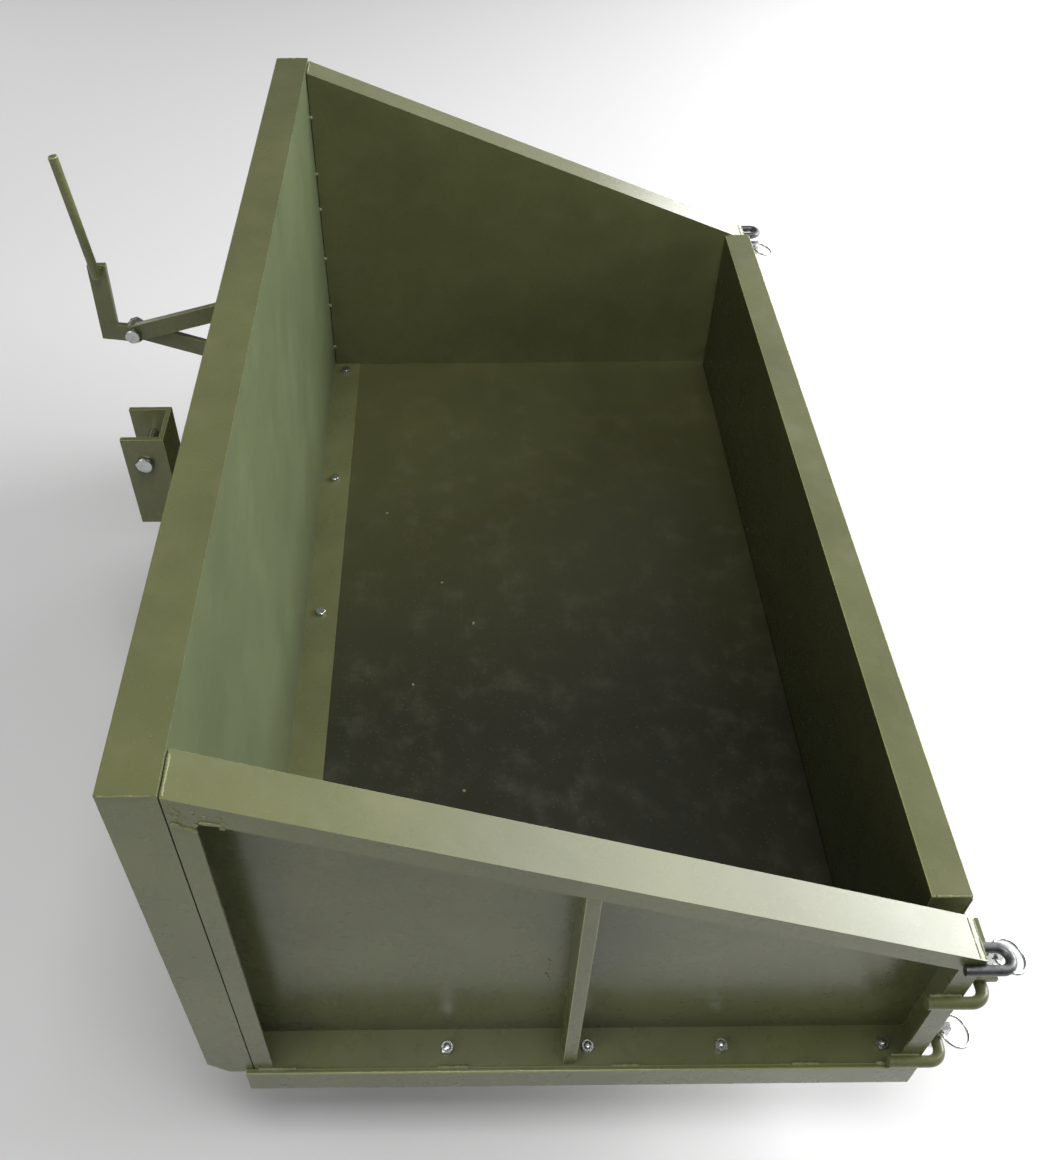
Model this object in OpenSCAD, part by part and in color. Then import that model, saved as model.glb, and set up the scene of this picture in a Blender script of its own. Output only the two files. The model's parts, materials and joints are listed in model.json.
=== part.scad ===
// Tipping transport box for a tractor's three-point linkage.
// X is across the tractor, +Y points at the tractor, +Z is up, all in millimetres.
// The origin is on the ground under the middle of the lower hitch tube.

/* [Box] */
// Inside width of the box between the side walls
box_w = 1200; // [1000:10:1500]
// Inside length from the front wall to the rear ends of the side walls
box_l = 692; // [560:4:840]
// Height of the front wall above the floor
front_h = 520; // [430:10:620]
// Height of the side walls at the front wall
side_front_h = 516; // [426:10:616]
// Height of the side walls at the tailgate
side_rear_h = 239; // [200:1:286]
// Thickness of the sheet of the floor and walls
sheet = 3; // [2.5:0.1:3.6]

/* [Flanges] */
// Depth of the flanges round the front wall
front_flange = 46; // [38:1:55]
// Depth of the flanges round the side walls
side_flange = 44; // [37:0.2:52.8]
// Width of the lip turned down along the top of a side wall
top_lip = 25; // [20:1:30]
// Width of the lips along the uprights of a side wall
upright_lip = 21; // [17:1:25]
// Width of the stiffener halfway along a side wall
stiffener_w = 14; // [10:1:20]
// Height of the sill bar along each side of the floor
sill_h = 40; // [33:1:48]
// Thickness of the sill bar
sill_t = 6; // [5:1:8]

/* [Tailgate] */
// Height of the tailgate above the floor
gate_h = 254; // [212:1:300]
// Depth of the tailgate from its inner face to its rear lips
gate_depth = 39; // [32:1:46]
// Gap between the tailgate and each side wall
gate_side_gap = 12; // [10:1:16]
// Gap under the tailgate
gate_floor_gap = 3; // [2:0.5:5]
// Width of the lips along the rear edges of the tailgate
gate_lip = 18; // [14:1:22]

/* [Tailgate fittings] */
// Diameter of the bent round bars that carry the tailgate
hook_bar_d = 12; // [10:0.2:14.4]
// Distance from the rear of the side walls back to the inward legs
hook_reach = 20; // [18:1:24]
// Height of the lower hinge bars above the floor
hinge_z = 24; // [20:1:28]
// Height of the upper keeper bars above the floor
keeper_z = 165; // [137:1:180]
// Diameter of the lynch pins
lynch_d = 8; // [7:0.5:9]
// Diameter of the bar of the lashing eyes
eye_bar_d = 10; // [8:1:12]

/* [Hitch frame] */
// Distance from the front wall forward to the hitch line
hitch_gap = 108; // [100:1:130]
// Size of the lower hitch tube and the rear foot tube
foot_tube = 60; // [50:5:72]
// Size of the arms, uprights and upper tube
frame_tube = 50; // [45:5:60]
// Wall of the square tubes
tube_wall = 4; // [3:0.5:5]
// Distance from the middle to the centre of each arm
arm_x = 225; // [220:1:230]
// Distance between the shoulders of the lower link pins
link_span = 683; // [675:1:720]
// Diameter of the lower link pins
link_pin_d = 22; // [20:0.5:28]
// Height from the lower link pins to the top link bolt
mast_h = 460; // [440:1:552]
// Gap between the cheeks for the top link
top_link_gap = 52; // [45:1:60]
// Diameter of the top link bolt
top_link_bolt_d = 12; // [12:1:19]
// Diameter of the tipping pivots
tip_pin_d = 20; // [16:1:24]
// Distance from the rear of the side walls forward to the tipping pivots
tip_pivot_y = 200; // [165:1:240]

/* [Latch] */
// Distance from the middle to the near face of the latch lever
latch_x = 220; // [214:1:226]
// Width of the flat bar of the latch lever
latch_bar_w = 24; // [20:1:28]
// Thickness of the flat bar of the latch lever
latch_bar_t = 8; // [6:1:10]
// Distance from the lever's pivot back to the catch pin
latch_reach = 190; // [185:1:195]
// Angle by which the lever stands above its latched position
latch_open = 15; // [14:1:18]
// Diameter of the lever's handle rod
handle_d = 12; // [10:1:14]
// Length of the handle rod
handle_l = 152; // [127:1:183]
// Diameter of the catch pin
catch_pin_d = 12; // [10:1:12]

/* [Fasteners] */
// Thread diameter of the box bolts
bolt_d = 8; // [6:1:10]
// Width across the flats of the box bolts
bolt_af = 13; // [10:1:16]
// Pitch of the bolts along the front of the floor
front_bolt_pitch = 288; // [240:1:290]
// Running clearance of each pivot on its radius
run_gap = 0.1; // [0.05:0.01:0.1]

/* [Hidden] */
$fn = 48;

// Colours of the finishes
olive = "#585d44";
dark_olive = "#45492f";
zinc = "#c9ccc8";
steel = "#7d7f7c";
black_rubber = "#232323";

// Clearances and small thicknesses
weld_gap = 0.05;
sill_rise = 7;
floor_over = 8;
flange_gap = 2;
rail_inset = 30;
lynch_inset = 20;
ear_inset = 31;
leg_over = 4;
seat_gap = 0.3;
cut = 1;
hex_turn = 30;
plug_t = 4;
buffer_h = 14;
buffer_d = 40;
link_plate_t = 6.5;
foot_over = 150;
upper_tube_l = 500;
upright_inset = 35;
plate_over = 10;

// Levels
rail_h = 50;
arm_low = foot_tube;
arm_top = arm_low + frame_tube;
rail_low = arm_top + buffer_h;
floor_z = rail_low + rail_h + sheet;

// Places along Y
y_front = -hitch_gap;
y_rear = y_front - box_l;
gate_rear = y_rear - 0.4;
gate_inner = y_rear + gate_depth;
pivot_y = y_rear + tip_pivot_y;
pivot_z = arm_low + frame_tube / 2;
leg_y = y_rear - hook_reach;

// Places along X
in_x = box_w / 2;
out_x = in_x + side_flange;
gate_x = in_x - gate_side_gap;
hook_x = out_x + hook_bar_d / 2;
hook_bend = 14;
lynch_x = out_x - lynch_inset;
ear_t = 6;
ear_x = lynch_x - ear_inset;
leg_end_x = ear_x - leg_over;

// Link pins and top link
link_z = foot_tube / 2;
top_bolt_z = link_z + mast_h;
top_bolt_y = frame_tube / 2 + 28;
cheek_t = 6;
cheek_l = 52;
cheek_h = 134;
cheek_over = 35;
upper_low = top_bolt_z + cheek_over - cheek_h + 16;
link_pin_l = 62;
link_root_d = link_pin_d + 6;
link_root_l = 35;
linch_hole_d = 11.5;
linch_hole_at = 49;

// Tailgate fittings
strap_h = 20;
strap_t = 6;
ear_r = 11;
tab_t = 6;
tab_gap = 1;
tab_low = floor_z + keeper_z + hook_bar_d / 2 + tab_gap;
lynch_l = 28;
lynch_head = [8, 16, 20];
lynch_ring_r = 17;
lynch_wire = 3.4;
lynch_eye_h = 12;
hinge_lynch_z = floor_z + hinge_z + hook_bar_d / 2 + seat_gap;
latch_lynch_z = tab_low + 0.5 + lynch_l;
ring_droop = 18;
eye_z = floor_z + side_rear_h - 8;
eye_r = 11;
eye_back = 14;

// Latch
lever_rise = 46;
lever_z = upper_low + frame_tube + lever_rise;
lever_y = y_front + 220;
latch_hook = 14;
catch_y = lever_y - latch_reach;
catch_lug_t = 6;
catch_lug_gap = 2;
elbow = [31, 4];
crank_end = [27, 105];
lever_bolt_d = 12;
bracket_x = latch_x + latch_bar_t + 1;

// Bolts
bolt_hole_d = bolt_d + 1;
bolt_head_h = 5.3;
nut_h = 6.5;
side_bolt_ys = [31, 201, 342, 490];
side_bolt_x = in_x + 24;
corner_bolt_x = in_x + 20;
corner_bolt_zs = [55, 200, 340];
front_bolt_y = y_front - 20;
front_bolt_low = -2;
front_bolt_high = 2;
stiffener_y = y_rear + 362;

// ---------- helpers ----------

// Extrudes a (y, z) profile along +X
module along_x(t) {
    rotate([90, 0, 90]) linear_extrude(t) children();
}

// Extrudes an (x, z) profile along -Y
module back_along_y(t) {
    rotate([90, 0, 0]) linear_extrude(t) children();
}

module rod_x(d, l) {
    rotate([0, 90, 0]) cylinder(d = d, h = l);
}

module rod_y(d, l) {
    rotate([-90, 0, 0]) cylinder(d = d, h = l);
}

module square_tube_x(size, l) {
    translate([-l / 2, -size / 2, 0]) difference() {
        cube([l, size, size]);
        translate([-cut, tube_wall, tube_wall])
            cube([l + 2 * cut, size - 2 * tube_wall, size - 2 * tube_wall]);
    }
}

// Bolt whose head sits on z = 0 and whose shank goes down
module hex_bolt(d, af, head_h, shank_l) {
    rotate([0, 0, hex_turn]) cylinder(d = af / cos(30), h = head_h, $fn = 6);
    translate([0, 0, -shank_l]) cylinder(d = d, h = shank_l + head_h / 2);
}

// Nut that sits on z = 0
module hex_nut(d, af, h) {
    difference() {
        rotate([0, 0, hex_turn]) cylinder(d = af / cos(30), h = h, $fn = 6);
        translate([0, 0, -cut]) cylinder(d = d + 2 * weld_gap, h = h + 2 * cut);
    }
}

// A (y, z) point of the latched lever, turned to where the lever stands
function turned(p) = [p[0] * cos(latch_open) + p[1] * sin(latch_open),
                      p[1] * cos(latch_open) - p[0] * sin(latch_open)];

// Corner at b of a strip along a, b, c, off to its left by h
function unit(v) = v / norm(v);
function across(v) = [-v[1], v[0]];
function mitre(a, b, c, h) =
    b + (across(unit(b - a)) + across(unit(c - b))) * h
        / (1 + unit(b - a) * unit(c - b));

// Flat bar between two points of a (y, z) profile, round at its far end
module flat_link(a, b, w) {
    d = b - a;
    translate(a) rotate(atan2(d[1], d[0])) translate([0, -w / 2]) square([norm(d), w]);
    translate(b) circle(d = w);
}

module left_of() {
    mirror([1, 0, 0]) children();
}

module both_sides() {
    children();
    mirror([1, 0, 0]) children();
}

// ---------- box ----------

module floor_bolt_holes() {
    for (i = [front_bolt_low:front_bolt_high])
        translate([i * front_bolt_pitch, front_bolt_y, floor_z - 10])
            cylinder(d = bolt_hole_d, h = 20);
    both_sides()
        for (y = side_bolt_ys)
            translate([side_bolt_x, y_rear + y, floor_z - 10])
                cylinder(d = bolt_hole_d, h = 20);
}

module corner_bolt_holes() {
    both_sides()
        for (z = corner_bolt_zs)
            translate([corner_bolt_x, y_front - 10, floor_z + z])
                rod_y(bolt_hole_d, 20);
}

module floor_sheet() {
    edge_h = sill_h - sill_rise;
    color(dark_olive) difference() {
        union() {
            translate([-out_x, y_rear, floor_z - sheet])
                cube([2 * out_x, box_l + floor_over, sheet]);
            for (y = [y_rear, y_front + floor_over - sheet])
                translate([-out_x, y, floor_z - edge_h])
                    cube([2 * out_x, sheet, edge_h]);
        }
        floor_bolt_holes();
    }
}

module right_sill() {
    color(olive) translate([out_x, y_rear, floor_z + sill_rise - sill_h])
        cube([sill_t, box_l + floor_over, sill_h]);
}

module left_sill() {
    left_of() right_sill();
}

module front_wall() {
    corner_cut = 20;
    low_flange = front_flange - flange_gap;
    color(olive) difference() {
        union() {
            translate([-out_x, y_front, floor_z]) cube([2 * out_x, sheet, front_h]);
            translate([-out_x, y_front, floor_z + front_h - sheet])
                cube([2 * out_x, front_flange, sheet]);
            translate([-in_x + flange_gap, y_front - low_flange, floor_z])
                cube([box_w - 2 * flange_gap, low_flange + sheet, sheet]);
            both_sides() translate([out_x - sheet, 0, floor_z]) along_x(sheet)
                polygon([[y_front, 0], [y_front + front_flange - corner_cut, 0],
                         [y_front + front_flange, corner_cut],
                         [y_front + front_flange, front_h], [y_front, front_h]]);
        }
        floor_bolt_holes();
        corner_bolt_holes();
    }
}

// Height of the side wall's top edge above the floor at a place along Y
function side_top(y) =
    side_rear_h + (side_front_h - side_rear_h) * (y - y_rear) / box_l;

// Height along Z of the sheet in the sloping top
slope_sheet = sheet * norm([box_l, side_front_h - side_rear_h]) / box_l;

// Outline of a side wall taken in at the uprights, the top and the bottom
module side_outline(in_y, in_top, in_low) {
    polygon([[y_rear + in_y, floor_z + in_low],
             [y_front - in_y, floor_z + in_low],
             [y_front - in_y, floor_z + side_top(y_front - in_y) - in_top],
             [y_rear + in_y, floor_z + side_top(y_rear + in_y) - in_top]]);
}

// Flat sheet of a side wall, up to the folds of its flanges
module right_side_wall() {
    color(olive) translate([in_x, 0, 0]) along_x(sheet) side_outline(0, 0, 0);
}

module left_side_wall() {
    left_of() right_side_wall();
}

// Flanges folded outward round a side wall, with the lips along their outer edges
module right_side_rim() {
    color(olive) difference() {
        union() {
            translate([in_x + sheet, 0, 0]) difference() {
                along_x(side_flange - sheet) side_outline(0, 0, 0);
                translate([-cut, 0, 0])
                    along_x(side_flange) side_outline(sheet, slope_sheet, sheet);
            }
            translate([out_x - sheet, 0, 0]) along_x(sheet) difference() {
                side_outline(0, 0, sheet / 2);
                side_outline(upright_lip, top_lip, 0);
            }
        }
        floor_bolt_holes();
        corner_bolt_holes();
    }
}

module left_side_rim() {
    left_of() right_side_rim();
}

module right_stiffener() {
    wall = 2.5;
    depth = side_flange - sheet;
    rear = stiffener_y - stiffener_w / 2;
    color(olive) translate([in_x + sheet, 0, 0]) difference() {
        along_x(depth - sheet) stiffener_outline(rear, 0);
        translate([-cut, 0, 0])
            along_x(depth - sheet - wall + cut) stiffener_outline(rear, wall);
    }
}

module stiffener_outline(rear, wall) {
    low = floor_z + sheet;
    front = rear + stiffener_w;
    polygon([[rear + wall, low - wall], [front - wall, low - wall],
             [front - wall, floor_z + side_top(front) - slope_sheet + wall],
             [rear + wall, floor_z + side_top(rear) - slope_sheet + wall]]);
}

module left_stiffener() {
    left_of() right_stiffener();
}

module right_floor_rail() {
    rail_wall = 3;
    length = box_l - rail_inset - flange_gap;
    color(dark_olive) translate([arm_x - rail_h / 2, y_rear + rail_inset, rail_low]) difference() {
        cube([rail_h, length, rail_h]);
        translate([rail_wall, -cut, rail_wall])
            cube([rail_h - 2 * rail_wall, length + 2 * cut, rail_h - 2 * rail_wall]);
    }
}

module left_floor_rail() {
    left_of() right_floor_rail();
}

module floor_cross_rib() {
    rib_h = 30;
    rib_y = y_rear + box_l / 2;
    inner_x = arm_x - rail_h / 2;
    color(dark_olive) for (span = [[-in_x, -arm_x - rail_h / 2], [-inner_x, inner_x],
                                   [arm_x + rail_h / 2, in_x]])
        translate([span[0], rib_y, floor_z - sheet - rib_h]) difference() {
            cube([span[1] - span[0], rib_h, rib_h]);
            translate([-cut, sheet, -cut])
                cube([span[1] - span[0] + 2 * cut, rib_h, rib_h - sheet + cut]);
        }
}

module right_pivot_lugs() {
    lug_t = 8;
    lug_r = 20;
    side_gap = 1;
    color(dark_olive)
        for (x = [arm_x - frame_tube / 2 - side_gap - lug_t, arm_x + frame_tube / 2 + side_gap])
            translate([x, 0, 0]) along_x(lug_t) difference() {
                union() {
                    translate([pivot_y, pivot_z]) circle(r = lug_r);
                    translate([pivot_y - lug_r, pivot_z])
                        square([2 * lug_r, rail_low + rail_h - pivot_z]);
                }
                translate([pivot_y, pivot_z]) circle(d = tip_pin_d + 2 * weld_gap);
            }
}

module left_pivot_lugs() {
    left_of() right_pivot_lugs();
}

module tip_pins() {
    reach = frame_tube / 2 + 16;
    head_t = 4;
    color(zinc) both_sides() translate([arm_x - reach, pivot_y, pivot_z]) {
        rod_x(tip_pin_d, 2 * reach);
        translate([2 * reach - cut, 0, 0]) rod_x(tip_pin_d + 10, head_t);
    }
}

module catch_bracket() {
    lug_h = 36;
    lug_nose = 10;
    lug_y = y_front + sheet;
    color(olive) for (x = [latch_x - catch_lug_gap - catch_lug_t,
                           latch_x + latch_bar_t + catch_lug_gap])
        translate([x, 0, 0]) along_x(catch_lug_t) difference() {
            union() {
                translate([lug_y, lever_z - lug_h / 2])
                    square([catch_y - lug_y, lug_h]);
                translate([catch_y, lever_z]) circle(r = lug_nose);
            }
            translate([catch_y, lever_z]) circle(d = catch_pin_d + 2 * weld_gap);
        }
}

module catch_pin() {
    over = 3;
    start = latch_x - catch_lug_gap - catch_lug_t - over;
    length = latch_bar_t + 2 * (catch_lug_gap + catch_lug_t + over);
    color(zinc) translate([start, catch_y, lever_z]) rod_x(catch_pin_d, length);
}

// Round bar along the lip of the side wall, bent inward behind it
module hook_bar(z) {
    straight = 36;
    color(olive) translate([0, leg_y + hook_bend, floor_z + z]) {
        translate([hook_x, 0, 0])
            rod_y(hook_bar_d, hook_reach - hook_bend + straight);
        translate([hook_x - hook_bend, 0, 0]) rotate([0, 0, -90])
            rotate_extrude(angle = 90) translate([hook_bend, 0]) circle(d = hook_bar_d);
    }
    color(olive) difference() {
        translate([leg_end_x, leg_y, floor_z + z])
            rod_x(hook_bar_d, hook_x - hook_bend - leg_end_x);
        translate([lynch_x, leg_y, floor_z + z - hook_bar_d])
            cylinder(d = lynch_d + 2 * run_gap, h = 2 * hook_bar_d);
    }
}

module right_hinge_bar() {
    hook_bar(hinge_z);
}

module left_hinge_bar() {
    left_of() hook_bar(hinge_z);
}

module right_keeper_bar() {
    hook_bar(keeper_z);
}

module left_keeper_bar() {
    left_of() hook_bar(keeper_z);
}

// Round eye bent from bar: one leg beside the lip, the other on the rear face
module right_lashing_eye() {
    outer_x = out_x + eye_bar_d / 2;
    lip_leg = 20;
    color(steel) translate([0, y_rear - eye_back, eye_z]) {
        translate([outer_x, 0, 0]) rod_y(eye_bar_d, eye_back + lip_leg);
        translate([outer_x - 2 * eye_r, 0, 0]) rod_y(eye_bar_d, eye_back);
        translate([outer_x - eye_r, 0, 0]) rotate([0, 0, 180])
            rotate_extrude(angle = 180) translate([eye_r, 0]) circle(d = eye_bar_d);
    }
}

module left_lashing_eye() {
    left_of() right_lashing_eye();
}

// ---------- fasteners of the box ----------

module front_floor_bolts() {
    shank = 2 * sheet + nut_h + 3;
    color(zinc) for (i = [front_bolt_low:front_bolt_high])
        translate([i * front_bolt_pitch, front_bolt_y, floor_z]) {
            translate([0, 0, sheet]) hex_bolt(bolt_d, bolt_af, bolt_head_h, shank);
            translate([0, 0, -sheet - nut_h]) hex_nut(bolt_d, bolt_af, nut_h);
        }
}

module side_floor_bolts() {
    shank = 2 * sheet + nut_h + 3;
    color(zinc) both_sides() for (y = side_bolt_ys)
        translate([side_bolt_x, y_rear + y, floor_z]) {
            translate([0, 0, -sheet]) rotate([180, 0, 0])
                hex_bolt(bolt_d, bolt_af, bolt_head_h, shank);
            translate([0, 0, sheet]) hex_nut(bolt_d, bolt_af, nut_h);
        }
}

module corner_bolts() {
    shank = 2 * sheet + nut_h + 3;
    color(zinc) both_sides() for (z = corner_bolt_zs)
        translate([corner_bolt_x, y_front, floor_z + z]) {
            translate([0, -sheet, 0]) rotate([90, 0, 0])
                hex_bolt(bolt_d, bolt_af, bolt_head_h, shank);
            translate([0, sheet, 0]) rotate([-90, 0, 0]) hex_nut(bolt_d, bolt_af, nut_h);
        }
}

// ---------- tailgate ----------

module tailgate_panel() {
    low = floor_z + gate_floor_gap;
    top = floor_z + gate_h;
    depth = gate_inner - gate_rear;
    color(dark_olive) difference() {
        translate([-gate_x, gate_rear, low]) cube([2 * gate_x, depth, top - low]);
        translate([-gate_x + sheet, gate_rear + sheet, low + sheet])
            cube([2 * gate_x - 2 * sheet, depth - 2 * sheet, top - low - 2 * sheet]);
        translate([-gate_x + gate_lip, gate_rear - cut, low + gate_lip])
            cube([2 * gate_x - 2 * gate_lip, sheet + 2 * cut, top - low - 2 * gate_lip]);
    }
}

// Strap on the tailgate's rear lip with an ear round the hinge bar
module right_hinge_strap() {
    strap_l = 46;
    color(olive) translate([ear_x - strap_l, gate_rear - strap_t, floor_z + hinge_z])
        cube([strap_l, strap_t, strap_h]);
    color(olive) translate([ear_x, 0, floor_z + hinge_z]) along_x(ear_t) difference() {
        union() {
            translate([leg_y, 0]) circle(r = ear_r);
            translate([leg_y, 0]) square([gate_rear - leg_y, strap_h]);
        }
        translate([leg_y, 0]) circle(d = hook_bar_d + 2 * run_gap);
    }
}

module left_hinge_strap() {
    left_of() right_hinge_strap();
}

// Tab over the keeper bar that takes the latch lynch pin
module right_latch_tab() {
    start_x = gate_x - gate_lip;
    end_x = lynch_x + 9;
    tab_y = leg_y - 13;
    web_h = 24;
    color(olive) difference() {
        translate([start_x, tab_y, tab_low]) cube([end_x - start_x, gate_rear - tab_y, tab_t]);
        translate([lynch_x, leg_y, tab_low - cut])
            cylinder(d = lynch_d + 2 * run_gap, h = tab_t + 2 * cut);
    }
    color(olive) translate([start_x, 0, tab_low]) along_x(ear_t)
        polygon([[gate_rear, 0], [gate_rear, -web_h], [tab_y, 0]]);
}

module left_latch_tab() {
    left_of() right_latch_tab();
}

// Pin whose head sits on z = 0 and whose shank goes down
module lynch_pin() {
    ring_hole_d = 5.6;
    tip = 2;
    color(zinc) translate([0, 0, -lynch_l + tip]) cylinder(d = lynch_d, h = lynch_l);
    color(zinc) translate([0, 0, -lynch_l])
        cylinder(d1 = lynch_d - 2 * tip, d2 = lynch_d, h = tip);
    color(zinc) difference() {
        translate([-lynch_head[0] / 2, -lynch_head[1] / 2, 0]) cube(lynch_head);
        translate([-lynch_head[0], 0, lynch_eye_h]) rod_x(ring_hole_d, 2 * lynch_head[0]);
    }
}

// Ring that hangs in the head's hole, behind the pin
module lynch_ring() {
    color(zinc) translate([0, 0, lynch_eye_h]) rotate([ring_droop, 0, 0])
        translate([0, -lynch_ring_r, 0])
            rotate_extrude() translate([lynch_ring_r, 0]) circle(d = lynch_wire, $fn = 24);
}

module at_hinge_lynch() {
    translate([lynch_x, leg_y, hinge_lynch_z]) children();
}

module at_latch_lynch() {
    translate([lynch_x, leg_y, latch_lynch_z]) children();
}

module right_hinge_lynch_pin() {
    at_hinge_lynch() lynch_pin();
}

module left_hinge_lynch_pin() {
    left_of() at_hinge_lynch() lynch_pin();
}

module right_latch_lynch_pin() {
    at_latch_lynch() lynch_pin();
}

module left_latch_lynch_pin() {
    left_of() at_latch_lynch() lynch_pin();
}

module right_hinge_lynch_ring() {
    at_hinge_lynch() lynch_ring();
}

module left_hinge_lynch_ring() {
    left_of() at_hinge_lynch() lynch_ring();
}

module right_latch_lynch_ring() {
    at_latch_lynch() lynch_ring();
}

module left_latch_lynch_ring() {
    left_of() at_latch_lynch() lynch_ring();
}

// ---------- hitch frame ----------

module lower_hitch_tube() {
    color(olive) square_tube_x(foot_tube, link_span - 2 * link_plate_t);
}

module rear_foot_tube() {
    color(olive) translate([0, pivot_y + frame_tube / 2 + foot_tube / 2, 0])
        square_tube_x(foot_tube, 2 * arm_x + foot_over);
}

module right_arm() {
    rear = pivot_y - frame_tube / 2;
    front = foot_tube / 2;
    hole = frame_tube - 2 * tube_wall;
    color(olive) difference() {
        translate([arm_x - frame_tube / 2, rear, arm_low])
            cube([frame_tube, front - rear, frame_tube]);
        translate([arm_x - hole / 2, rear - cut, arm_low + tube_wall])
            cube([hole, front - rear + 2 * cut, hole]);
        translate([arm_x - frame_tube, pivot_y, pivot_z])
            rod_x(tip_pin_d + 2 * run_gap, 2 * frame_tube);
    }
}

module left_arm() {
    left_of() right_arm();
}

module right_upright() {
    foot_x = link_span / 2 - link_plate_t - upright_inset;
    head_x = upper_tube_l / 2 - upright_inset;
    rise = upper_low - foot_tube;
    lean = atan2(foot_x - head_x, rise);
    over = frame_tube;
    wide = 2 * frame_tube;
    color(olive) intersection() {
        translate([foot_x, 0, foot_tube]) rotate([0, -lean, 0])
            translate([-frame_tube / 2, -frame_tube / 2, -over]) difference() {
                cube([frame_tube, frame_tube, rise / cos(lean) + 2 * over]);
                translate([tube_wall, tube_wall, -cut])
                    cube([frame_tube - 2 * tube_wall, frame_tube - 2 * tube_wall,
                          rise / cos(lean) + 2 * over + 2 * cut]);
            }
        translate([head_x - wide, -wide, foot_tube])
            cube([foot_x - head_x + 2 * wide, 2 * wide, rise]);
    }
}

module left_upright() {
    left_of() right_upright();
}

module upper_hitch_tube() {
    color(olive) translate([0, 0, upper_low]) square_tube_x(frame_tube, upper_tube_l);
}

module top_link_bracket() {
    low = top_bolt_z + cheek_over - cheek_h;
    front = frame_tube / 2;
    outer = top_link_gap / 2 + cheek_t;
    color(olive) difference() {
        translate([-outer, front, low]) cube([2 * outer, cheek_l, cheek_h]);
        translate([-top_link_gap / 2, front + cheek_t, low - cut])
            cube([top_link_gap, cheek_l, cheek_h + 2 * cut]);
        translate([-outer - cut, top_bolt_y, top_bolt_z])
            rod_x(top_link_bolt_d + 2 * run_gap, 2 * outer + 2 * cut);
    }
}

module top_link_bolt() {
    af = top_link_bolt_d + 7;
    outer = top_link_gap / 2 + cheek_t;
    bolt_nut_h = 10;
    color(zinc) translate([-outer, top_bolt_y, top_bolt_z]) rotate([0, -90, 0])
        hex_bolt(top_link_bolt_d, af, 7.5, 2 * outer + bolt_nut_h + 4);
    color(zinc) translate([outer, top_bolt_y, top_bolt_z]) rotate([0, 90, 0])
        hex_nut(top_link_bolt_d, af, bolt_nut_h);
}

module link_plates() {
    plate = foot_tube + plate_over;
    color(olive) both_sides()
        translate([link_span / 2 - link_plate_t, -plate / 2, 0]) difference() {
            cube([link_plate_t, plate, plate]);
            translate([-cut, plate / 2, link_z])
                rod_x(link_root_d + 2 * weld_gap, link_plate_t + 2 * cut);
        }
}

module right_link_pin() {
    chamfer = 2;
    color(steel) difference() {
        union() {
            translate([link_span / 2 - link_root_l, 0, link_z]) rod_x(link_root_d, link_root_l);
            translate([link_span / 2 - cut, 0, link_z])
                rod_x(link_pin_d, link_pin_l - chamfer + cut);
            translate([link_span / 2 + link_pin_l - chamfer, 0, link_z]) rotate([0, 90, 0])
                cylinder(d1 = link_pin_d, d2 = link_pin_d - 2 * chamfer, h = chamfer);
        }
        translate([link_span / 2 + linch_hole_at, 0, link_z - link_pin_d])
            cylinder(d = linch_hole_d, h = 2 * link_pin_d);
    }
}

module left_link_pin() {
    left_of() right_link_pin();
}

module lever_bracket() {
    root = [10, upper_low + frame_tube + latch_bar_w / 2 - 2];
    pivot = [lever_y, lever_z];
    color(olive) translate([bracket_x, 0, 0]) along_x(latch_bar_t) difference() {
        union() {
            flat_link(root, pivot, latch_bar_w);
            translate([-10, upper_low + frame_tube]) square([30, latch_bar_w / 2]);
        }
        translate(pivot) circle(d = lever_bolt_d + 2 * weld_gap);
        translate([-frame_tube, upper_low]) square([frame_tube * 1.5, frame_tube]);
    }
}

module lever_pivot_bolt() {
    af = 19;
    grip = 2 * latch_bar_t + 1;
    color(zinc) translate([latch_x, lever_y, lever_z]) {
        translate([-0.3, 0, 0]) rotate([0, -90, 0])
            hex_bolt(lever_bolt_d, af, 7.5, grip + 12 + 0.3);
        translate([grip, 0, 0]) rotate([0, 90, 0]) hex_nut(lever_bolt_d, af, 10);
    }
}

module rubber_buffers() {
    color(black_rubber) both_sides()
        translate([arm_x, y_front - 30, arm_top]) cylinder(d = buffer_d, h = buffer_h - seat_gap);
}

module tube_plugs() {
    hole = frame_tube - 2 * tube_wall - 2 * weld_gap;
    color(black_rubber) both_sides() {
        translate([upper_tube_l / 2 - plug_t, -hole / 2, upper_low + frame_tube / 2 - hole / 2])
            cube([plug_t + 2, hole, hole]);
        translate([arm_x - hole / 2, foot_tube / 2 - plug_t, arm_low + frame_tube / 2 - hole / 2])
            cube([hole, plug_t + 2, hole]);
    }
}

// ---------- latch lever ----------

// The cranked lever's outline, from the hook at the catch pin round to the handle
module lever_outline() {
    half = latch_bar_w / 2;
    notch = catch_pin_d + 1;
    near = -latch_reach + notch / 2;
    far = -latch_reach - notch / 2;
    nose = 10;
    hook = [[near, -half], [near, notch / 2], [far, notch / 2], [far, -half - latch_hook],
            [far - nose, -half - latch_hook + nose / 2], [far - nose, half - nose / 2],
            [far, half]];
    heel = turned([-latch_reach, 0]);
    pivot = [0, 0];
    polygon(concat(
        [for (i = [6 : -1 : 0]) turned(hook[i])],
        [mitre(heel, pivot, elbow, -half), mitre(pivot, elbow, crank_end, -half),
         crank_end + [half, 0], crank_end - [half, 0],
         mitre(pivot, elbow, crank_end, half), mitre(heel, pivot, elbow, half)]));
}

module latch_lever() {
    eye_d = latch_bar_w + 4;
    color(olive) translate([latch_x, lever_y, lever_z]) along_x(latch_bar_t) difference() {
        union() {
            lever_outline();
            circle(d = eye_d);
        }
        circle(d = lever_bolt_d + 2 * run_gap);
    }
}

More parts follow.
